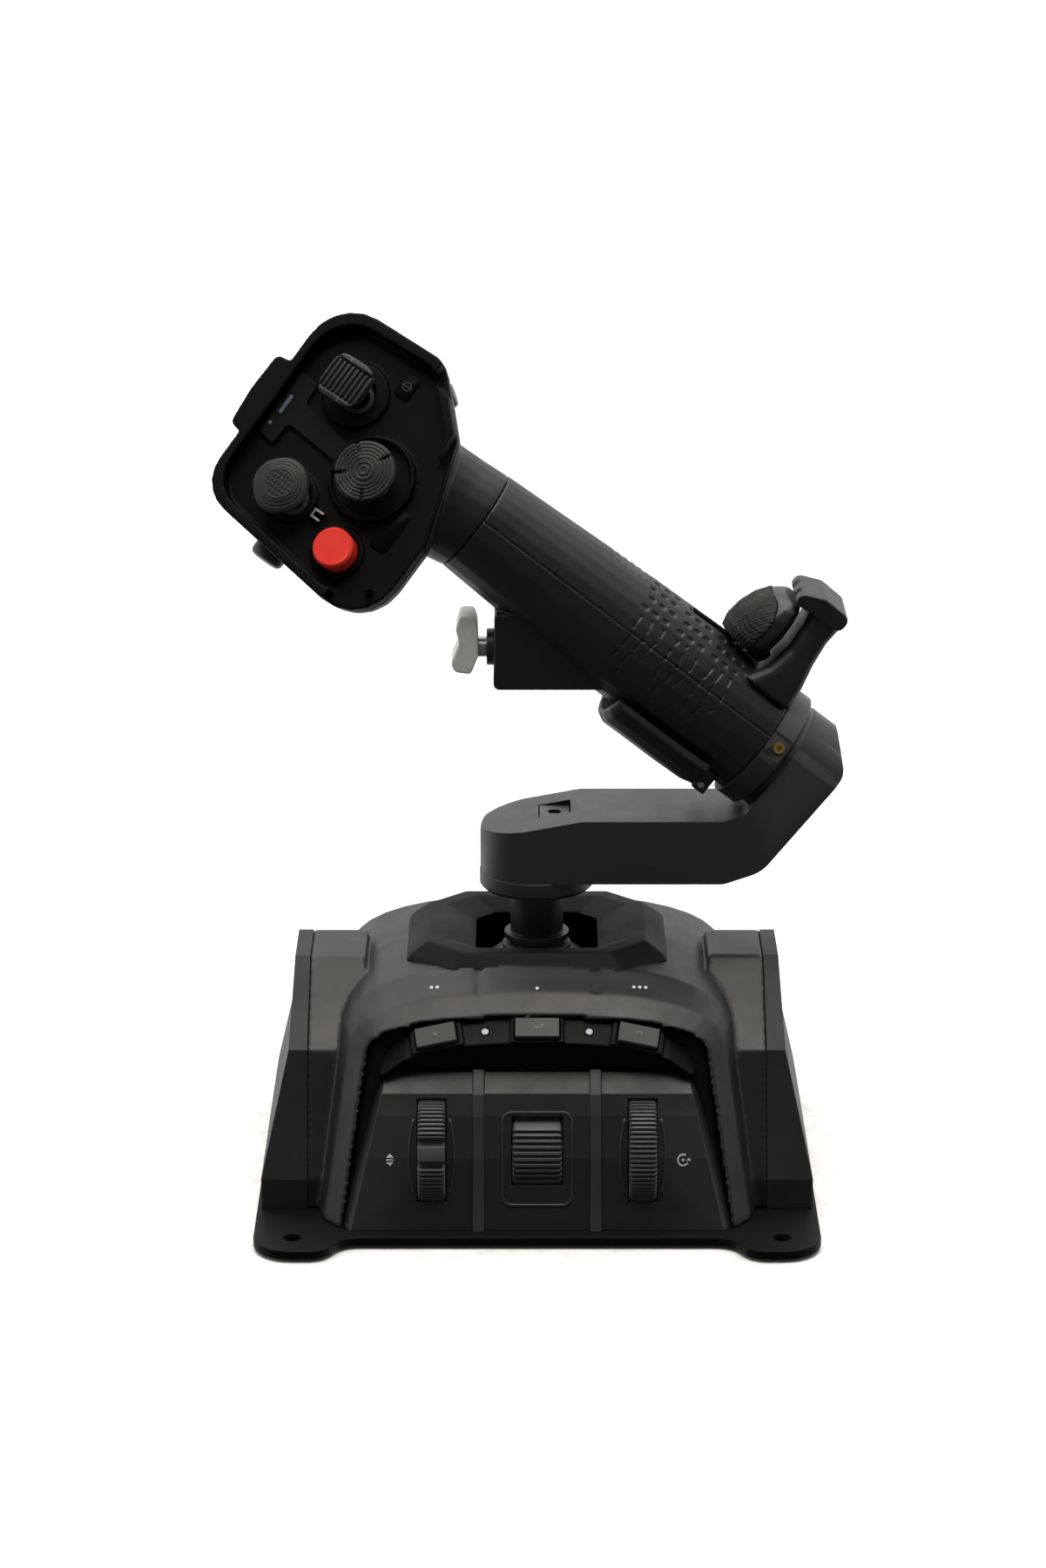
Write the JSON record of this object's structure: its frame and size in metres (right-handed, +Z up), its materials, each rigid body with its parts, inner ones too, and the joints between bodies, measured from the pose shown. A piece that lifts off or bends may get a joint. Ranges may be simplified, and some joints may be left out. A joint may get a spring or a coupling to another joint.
{
  "type": "flight joystick",
  "caption": "Desk flight joystick: square base with domed shell and sloped control panel, tilting gimbal, bent arm, and a leaning grip with thumb hats, trigger, lever and hand rest.",
  "frame": {"origin": "centre of the base plate's underside, at the centre of its four ear holes", "axes": "+Z up along the shaft, -Y towards the control panel and the grip head's face, +X towards the arm's raised end"},
  "size_m": [0.2243, 0.2, 0.3161],
  "materials": {
    "black_plastic": "fine spark texture, moulded black",
    "black_metal": "smooth black coating",
    "dark_plastic": "smooth dark moulding",
    "grey_plastic": "satin dark grey moulding",
    "rubber": "matte with a fine mesh",
    "steel": "machined",
    "silver_paint": "satin silver grey",
    "socket_metal": "stamped",
    "brass": "turned",
    "circuit_board": "green solder mask",
    "red_plastic": "satin red moulding",
    "lens": "frosted lens"
  },
  "bodies": {
    "base": {"base_plate": "black_metal", "rubber_feet": "rubber", "plate_screws": "steel", "base_shell": "black_plastic", "front_panel": "black_plastic", "button_strip": "dark_plastic", "strip_lenses": "lens", "side_cover_left": "black_plastic", "side_cover_right": "black_plastic", "cover_screws": "steel", "gimbal_bezel": "black_plastic", "gimbal_frame": "steel", "frame_bearings": "steel", "pitch_springs": "steel", "main_board": "circuit_board", "panel_board": "circuit_board", "usb_socket": "socket_metal", "wheel_bracket": "dark_plastic", "wheel_axles": "steel"},
    "pitch": {"pitch_yoke": "steel", "yoke_bearings": "steel", "roll_springs": "steel"},
    "roll": {"roll_block": "grey_plastic", "dust_shield": "grey_plastic"},
    "stick": {"stick_shaft": "black_metal", "shaft_collar": "black_metal", "adapter_arm": "black_metal", "arm_insert": "dark_plastic", "grip_collar": "black_metal", "collar_screw": "brass", "grip_shell_palm": "black_plastic", "grip_shell_finger": "black_plastic", "grip_screws": "steel", "grip_board": "circuit_board", "trigger_bush": "black_metal", "lever_pin": "steel", "head_shell": "black_plastic", "head_back": "black_plastic", "face_plate": "dark_plastic", "head_lens": "lens"},
    "trigger": {"trigger_pin": "steel", "trigger_paddle": "silver_paint"},
    "lever": {"pinky_lever": "black_plastic"},
    "rest": {"rest_carrier": "dark_plastic", "rest_pad": "rubber"},
    "red": {"red_button": "red_plastic"},
    "top_pivot": {"top_hat_pivot": "dark_plastic"},
    "top_cap": {"top_hat_cap": "dark_plastic"},
    "round_pivot": {"round_hat_pivot": "dark_plastic"},
    "round_cap": {"round_hat_cap": "dark_plastic"},
    "octagon_pivot": {"octagon_hat_pivot": "dark_plastic"},
    "octagon_cap": {"octagon_hat_cap": "dark_plastic"},
    "thumb": {"thumb_button": "dark_plastic"},
    "side": {"side_button": "dark_plastic"},
    "spring_wheel": {"spring_wheel": "grey_plastic"},
    "roller": {"throttle_roller": "grey_plastic"},
    "encoder": {"encoder_wheel": "grey_plastic"},
    "button_left": {"button_left": "grey_plastic"},
    "button_centre": {"button_centre": "grey_plastic"},
    "button_right": {"button_right": "grey_plastic"}
  },
  "joints": [
    {"name": "pitch", "type": "hinge", "parent": "base", "child": "pitch", "pos_m": [0, 0, 0.058], "axis": [1, 0, 0], "range_deg": [-12, 12], "stiffness_Nm_per_rad": 8},
    {"name": "roll", "type": "hinge", "parent": "pitch", "child": "roll", "pos_m": [0, 0, 0.058], "axis": [0, 1, 0], "range_deg": [-12, 12], "stiffness_Nm_per_rad": 8},
    {"name": "twist", "type": "hinge", "parent": "roll", "child": "stick", "pos_m": [0, 0, 0.1], "axis": [0, 0, 1], "range_deg": [-20, 20], "stiffness_Nm_per_rad": 2},
    {"name": "trigger_pull", "type": "slide", "parent": "stick", "child": "trigger", "axis": [1, 0, 0], "range_m": [0, 0.0024], "stiffness_N_per_m": 1500, "springref_m": -0.001},
    {"name": "lever_squeeze", "type": "hinge", "parent": "stick", "child": "lever", "pos_m": [0.05887, 0, 0.14609], "axis": [0, 1, 0], "range_deg": [0, 3.5], "stiffness_Nm_per_rad": 3, "springref_deg": -1.72},
    {"name": "rest_height", "type": "slide", "parent": "stick", "child": "rest", "axis": [-0.7934, 0, 0.6088], "range_m": [0, 0.006]},
    {"name": "red_press", "type": "slide", "parent": "stick", "child": "red", "axis": [0.2057, 0.8498, -0.4853], "range_m": [0, 0.0025], "stiffness_N_per_m": 900, "springref_m": -0.0008},
    {"name": "top_hat_tilt", "type": "hinge", "parent": "stick", "child": "top_pivot", "pos_m": [-0.06267, -0.00139, 0.28547], "axis": [0.5822, 0.2924, 0.7587], "range_deg": [-9, 9], "stiffness_Nm_per_rad": 0.15},
    {"name": "top_hat_lean", "type": "hinge", "parent": "top_pivot", "child": "top_cap", "pos_m": [-0.06267, -0.00139, 0.28547], "axis": [-0.7866, 0.4386, 0.4346], "range_deg": [-9, 9], "stiffness_Nm_per_rad": 0.15},
    {"name": "round_hat_tilt", "type": "hinge", "parent": "stick", "child": "round_pivot", "pos_m": [-0.0567, -0.01798, 0.25895], "axis": [0.5822, 0.2924, 0.7587], "range_deg": [-9, 9], "stiffness_Nm_per_rad": 0.15},
    {"name": "round_hat_lean", "type": "hinge", "parent": "round_pivot", "child": "round_cap", "pos_m": [-0.0567, -0.01798, 0.25895], "axis": [-0.7866, 0.4386, 0.4346], "range_deg": [-9, 9], "stiffness_Nm_per_rad": 0.15},
    {"name": "octagon_hat_tilt", "type": "hinge", "parent": "stick", "child": "octagon_pivot", "pos_m": [-0.08535, -0.01478, 0.25242], "axis": [0.5822, 0.2924, 0.7587], "range_deg": [-9, 9], "stiffness_Nm_per_rad": 0.15},
    {"name": "octagon_hat_lean", "type": "hinge", "parent": "octagon_pivot", "child": "octagon_cap", "pos_m": [-0.08535, -0.01478, 0.25242], "axis": [-0.7866, 0.4386, 0.4346], "range_deg": [-9, 9], "stiffness_Nm_per_rad": 0.15},
    {"name": "thumb_press", "type": "slide", "parent": "stick", "child": "thumb", "axis": [0.5822, 0.2924, 0.7587], "range_m": [0, 0.0015], "stiffness_N_per_m": 900, "springref_m": -0.0008},
    {"name": "side_press", "type": "slide", "parent": "stick", "child": "side", "axis": [-0.943, 0.0396, -0.3303], "range_m": [0, 0.001], "stiffness_N_per_m": 900, "springref_m": -0.0008},
    {"name": "spring_wheel_turn", "type": "hinge", "parent": "base", "child": "spring_wheel", "pos_m": [-0.0373, -0.064, 0.027], "axis": [1, 0, 0], "range_deg": [-20, 20], "stiffness_Nm_per_rad": 0.15},
    {"name": "roller_turn", "type": "hinge", "parent": "base", "child": "roller", "pos_m": [0, -0.064, 0.027], "axis": [1, 0, 0], "range_deg": [-30, 30]},
    {"name": "encoder_turn", "type": "hinge", "parent": "base", "child": "encoder", "pos_m": [0.0373, -0.064, 0.027], "axis": [1, 0, 0], "continuous": true},
    {"name": "button_left_press", "type": "slide", "parent": "base", "child": "button_left", "axis": [0.1572, 0.6547, -0.7393], "range_m": [0, 0.0012], "stiffness_N_per_m": 900, "springref_m": -0.0008},
    {"name": "button_centre_press", "type": "slide", "parent": "base", "child": "button_centre", "axis": [0, 0.6547, -0.7559], "range_m": [0, 0.0012], "stiffness_N_per_m": 900, "springref_m": -0.0008},
    {"name": "button_right_press", "type": "slide", "parent": "base", "child": "button_right", "axis": [-0.1572, 0.6547, -0.7393], "range_m": [0, 0.0012], "stiffness_N_per_m": 900, "springref_m": -0.0008}
  ]
}
